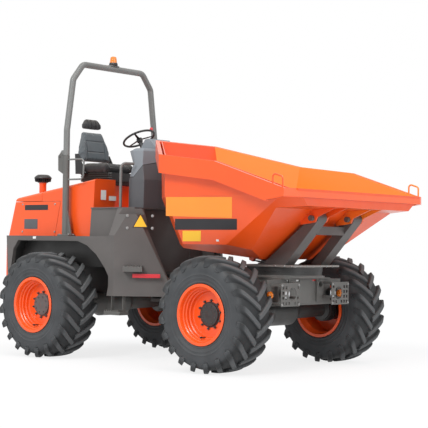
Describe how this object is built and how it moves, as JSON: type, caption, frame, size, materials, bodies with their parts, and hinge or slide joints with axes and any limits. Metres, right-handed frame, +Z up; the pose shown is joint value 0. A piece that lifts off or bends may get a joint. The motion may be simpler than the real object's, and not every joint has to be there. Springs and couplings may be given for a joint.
{
  "type": "site dumper",
  "caption": "Articulated site dumper with a driver's place behind a swivelling, tipping skip, folding roll bar and four large lugged wheels.",
  "frame": {"origin": "on the ground under the middle of the machine, on the axis of the steering pivot", "axes": "+X forwards, +Y to the driver's left, +Z up"},
  "size_m": [4.67, 2.467, 3.4893],
  "materials": {
    "orange_paint": "satin",
    "dark_grey_paint": "satin",
    "red_paint": "gloss",
    "console_plastic": "matte",
    "black_plastic": "matte",
    "seat_fabric": "woven",
    "tyre_rubber": "matte",
    "cylinder_paint": "gloss",
    "rod_chrome": "polished",
    "engine_iron": "matte",
    "amber_lens": "gloss",
    "red_lens": "gloss",
    "clear_lens": "gloss"
  },
  "bodies": {
    "rear_frame": {"rear_chassis": "dark_grey_paint", "rear_axle": "dark_grey_paint", "engine_block": "engine_iron", "engine_housing": "orange_paint", "engine_panels": "orange_paint", "rear_grille": "dark_grey_paint", "rear_bumper": "orange_paint", "tail_lamps": "red_lens", "deck": "dark_grey_paint", "console": "console_plastic", "steering_wheel": "black_plastic", "seat_base": "dark_grey_paint", "seat_cushion": "seat_fabric", "seat_back": "seat_fabric", "seat_headrest": "seat_fabric", "rops_posts": "dark_grey_paint", "grab_rails": "dark_grey_paint", "side_steps": "dark_grey_paint", "lock_bar": "red_paint", "side_body_right": "dark_grey_paint", "side_body_left": "dark_grey_paint"},
    "hood": {"hood": "orange_paint", "air_precleaner": "orange_paint"},
    "rops": {"rops_hoop": "dark_grey_paint", "beacon": "amber_lens"},
    "front_frame": {"front_chassis": "dark_grey_paint", "front_axle": "dark_grey_paint", "lamp_guards": "dark_grey_paint", "headlamps": "clear_lens", "indicators": "amber_lens"},
    "carrier": {"skip_carrier": "dark_grey_paint"},
    "skip": {"skip_shell": "orange_paint", "lifting_loops": "orange_paint", "skip_brackets": "orange_paint"},
    "tip_barrel": {"tip_barrel": "cylinder_paint"},
    "tip_stage": {"tip_stage": "cylinder_paint"},
    "tip_rod": {"tip_rod": "rod_chrome"},
    "steer_barrel_right": {"steer_barrel_right": "cylinder_paint"},
    "steer_barrel_left": {"steer_barrel_left": "cylinder_paint"},
    "steer_rod_right": {"steer_rod_right": "rod_chrome"},
    "steer_rod_left": {"steer_rod_left": "rod_chrome"},
    "wheel_front_left": {"rim_front_left": "orange_paint", "tyre_front_left": "tyre_rubber"},
    "wheel_front_right": {"rim_front_right": "orange_paint", "tyre_front_right": "tyre_rubber"},
    "wheel_rear_left": {"rim_rear_left": "orange_paint", "tyre_rear_left": "tyre_rubber"},
    "wheel_rear_right": {"rim_rear_right": "orange_paint", "tyre_rear_right": "tyre_rubber"}
  },
  "joints": [
    {"name": "articulation", "type": "hinge", "parent": "rear_frame", "child": "front_frame", "pos_m": [0, 0, 0.765], "axis": [0, 0, 1], "range_deg": [-32, 32]},
    {"name": "skip_slew", "type": "hinge", "parent": "front_frame", "child": "carrier", "pos_m": [1.34, 0, 1.012], "axis": [0, 0, 1], "range_deg": [-90, 90]},
    {"name": "skip_tip", "type": "hinge", "parent": "carrier", "child": "skip", "pos_m": [1.995, 0, 1.556], "axis": [0, 1, 0], "range_deg": [0, 52]},
    {"name": "tip_ram_swing", "type": "hinge", "parent": "carrier", "child": "tip_barrel", "pos_m": [1.565, 0, 1.005], "axis": [0, 1, 0], "range_deg": [0, 51.99]},
    {"name": "tip_stage_slide", "type": "slide", "parent": "tip_barrel", "child": "tip_stage", "axis": [-0.9778, 0, 0.2095], "range_m": [0, 0.3067]},
    {"name": "tip_rod_slide", "type": "slide", "parent": "tip_stage", "child": "tip_rod", "axis": [-0.9778, 0, 0.2095], "range_m": [0, 0.3067]},
    {"name": "hood_hinge", "type": "hinge", "parent": "rear_frame", "child": "hood", "pos_m": [-2.207, 0, 1.762], "axis": [0, 1, 0], "range_deg": [-35, 0]},
    {"name": "rops_fold", "type": "hinge", "parent": "rear_frame", "child": "rops", "pos_m": [-1.33, 0, 2.258], "axis": [0, -1, 0], "range_deg": [0, 105]},
    {"name": "steer_swing_right", "type": "hinge", "parent": "rear_frame", "child": "steer_barrel_right", "pos_m": [-0.24, -0.245, 0.935], "axis": [0, 0, 1], "range_deg": [-17.67, 17.67]},
    {"name": "steer_stroke_right", "type": "slide", "parent": "steer_barrel_right", "child": "steer_rod_right", "axis": [0.9969, 0.0787, 0], "range_m": [-0.12431, 0.12431]},
    {"name": "steer_swing_left", "type": "hinge", "parent": "rear_frame", "child": "steer_barrel_left", "pos_m": [-0.24, 0.245, 0.935], "axis": [0, 0, 1], "range_deg": [-17.67, 17.67]},
    {"name": "steer_stroke_left", "type": "slide", "parent": "steer_barrel_left", "child": "steer_rod_left", "axis": [0.9969, -0.0787, 0], "range_m": [-0.12431, 0.12431]},
    {"name": "wheel_spin_front_left", "type": "hinge", "parent": "front_frame", "child": "wheel_front_left", "pos_m": [1.235, 0.9835, 0.585], "axis": [0, 1, 0], "continuous": true},
    {"name": "wheel_spin_front_right", "type": "hinge", "parent": "front_frame", "child": "wheel_front_right", "pos_m": [1.235, -0.9835, 0.585], "axis": [0, 1, 0], "continuous": true},
    {"name": "wheel_spin_rear_left", "type": "hinge", "parent": "rear_frame", "child": "wheel_rear_left", "pos_m": [-1.235, 0.9835, 0.585], "axis": [0, 1, 0], "continuous": true},
    {"name": "wheel_spin_rear_right", "type": "hinge", "parent": "rear_frame", "child": "wheel_rear_right", "pos_m": [-1.235, -0.9835, 0.585], "axis": [0, 1, 0], "continuous": true}
  ],
  "couplings": [
    {"joint": "tip_ram_swing", "follows": "skip_tip", "ratio": 0.99882},
    {"joint": "tip_stage_slide", "follows": "skip_tip", "m_per_rad": 0.33759},
    {"joint": "tip_rod_slide", "follows": "skip_tip", "m_per_rad": 0.33759},
    {"joint": "steer_swing_left", "follows": "articulation", "ratio": 0.55174},
    {"joint": "steer_swing_right", "follows": "articulation", "ratio": 0.55174},
    {"joint": "steer_stroke_left", "follows": "articulation", "m_per_rad": -0.22235},
    {"joint": "steer_stroke_right", "follows": "articulation", "m_per_rad": 0.22235}
  ]
}
